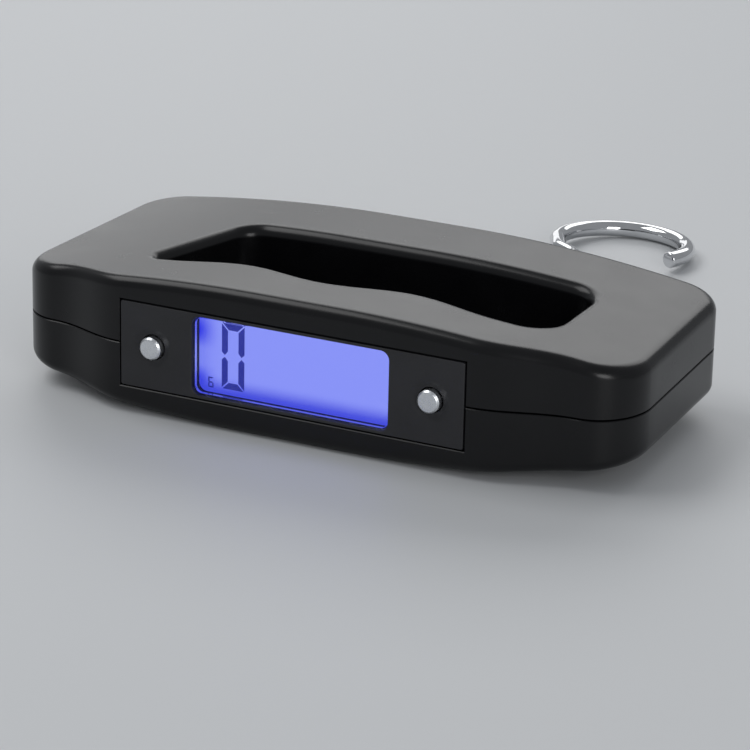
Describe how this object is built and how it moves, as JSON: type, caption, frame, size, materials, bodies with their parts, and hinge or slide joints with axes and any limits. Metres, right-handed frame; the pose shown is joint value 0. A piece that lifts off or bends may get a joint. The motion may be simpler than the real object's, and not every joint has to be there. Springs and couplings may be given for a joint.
{
  "type": "digital luggage scale",
  "caption": "Handheld luggage scale: a crowned loop-shaped grip frame with a backlit readout and two buttons on one edge and a steel hook on a ring at the other.",
  "frame": {"origin": "middle of the footprint, on the plane that the back face rests on", "axes": "+X along the grip frame, +Y from the readout edge to the hook, +Z out of the front face"},
  "size_m": [0.1418, 0.1695, 0.031],
  "materials": {
    "shell_plastic": "fine spark-eroded satin ABS, black",
    "panel_plastic": "coarser grained ABS, black",
    "polished_chrome": "polished chromium plate on steel",
    "button_metal": "bright nickel-chrome plated caps",
    "zinc_steel": "zinc plated steel",
    "spring_steel": "nickel plated spring steel",
    "beam_aluminium": "machined aluminium",
    "lens_acrylic": "clear acrylic window",
    "display_glass": "liquid crystal glass, blue",
    "light_diffuser": "edge-lit diffuser, blue-violet glow",
    "holder_plastic": "white moulded plastic",
    "rubber_black": "moulded rubber",
    "board_laminate": "green solder mask over glass-epoxy",
    "epoxy_black": "moulded epoxy",
    "cell_jacket": "plain printed film over a steel can",
    "silicone_white": "silicone sealing pad",
    "lead_red": "PVC insulation",
    "lead_black": "PVC insulation",
    "lead_grey": "PVC sheath"
  },
  "bodies": {
    "housing": {"front_shell": "shell_plastic", "back_shell": "shell_plastic", "display_panel": "panel_plastic", "lcd_window": "lens_acrylic", "lcd_glass": "display_glass", "backlight_diffuser": "light_diffuser", "contact_strip": "rubber_black", "lcd_holder": "holder_plastic", "main_board": "board_laminate", "controller_chip": "epoxy_black", "amplifier_chip": "epoxy_black", "unit_switch": "epoxy_black", "tare_switch": "epoxy_black", "load_cell": "beam_aluminium", "load_cell_screw_1": "zinc_steel", "load_cell_screw_2": "zinc_steel", "gauge_cover_near": "silicone_white", "gauge_cover_far": "silicone_white", "bolt_nut": "zinc_steel", "bolt_bush": "rubber_black", "eye_bolt": "polished_chrome", "battery_cell_left": "cell_jacket", "battery_cell_right": "cell_jacket", "battery_spring_left": "spring_steel", "battery_spring_right": "spring_steel", "spring_plate_left": "spring_steel", "spring_plate_right": "spring_steel", "contact_plate_left": "spring_steel", "contact_plate_right": "spring_steel", "battery_lead_left": "lead_red", "battery_lead_right": "lead_black", "series_lead": "lead_black", "gauge_lead": "lead_grey", "case_screw_1": "zinc_steel", "case_screw_2": "zinc_steel", "case_screw_3": "zinc_steel", "case_screw_4": "zinc_steel"},
    "unit_button": {"unit_button": "button_metal"},
    "tare_button": {"tare_button": "button_metal"},
    "battery_door_left": {"battery_door_left": "shell_plastic"},
    "battery_door_right": {"battery_door_right": "shell_plastic"},
    "hook_ring": {"hook_ring": "polished_chrome"},
    "hook": {"hook": "polished_chrome"}
  },
  "joints": [
    {"name": "unit_button_press", "type": "slide", "parent": "housing", "child": "unit_button", "axis": [0, 1, 0], "range_m": [0, 0.0006], "stiffness_N_per_m": 3000},
    {"name": "tare_button_press", "type": "slide", "parent": "housing", "child": "tare_button", "axis": [0, 1, 0], "range_m": [0, 0.0006], "stiffness_N_per_m": 3000},
    {"name": "battery_door_left_lift", "type": "slide", "parent": "housing", "child": "battery_door_left", "axis": [0, 0, -1], "range_m": [0, 0.015]},
    {"name": "battery_door_right_lift", "type": "slide", "parent": "housing", "child": "battery_door_right", "axis": [0, 0, -1], "range_m": [0, 0.015]},
    {"name": "ring_swing", "type": "hinge", "parent": "housing", "child": "hook_ring", "pos_m": [-0.0017, -0.00827, 0.0155], "axis": [1, 0, 0], "range_deg": [-37.6, 102.4]},
    {"name": "hook_swing", "type": "hinge", "parent": "hook_ring", "child": "hook", "pos_m": [-0.00031, 0.00514, 0.007], "axis": [0.9849, -0.1734, 0], "range_deg": [-98.7, 41.3]}
  ]
}
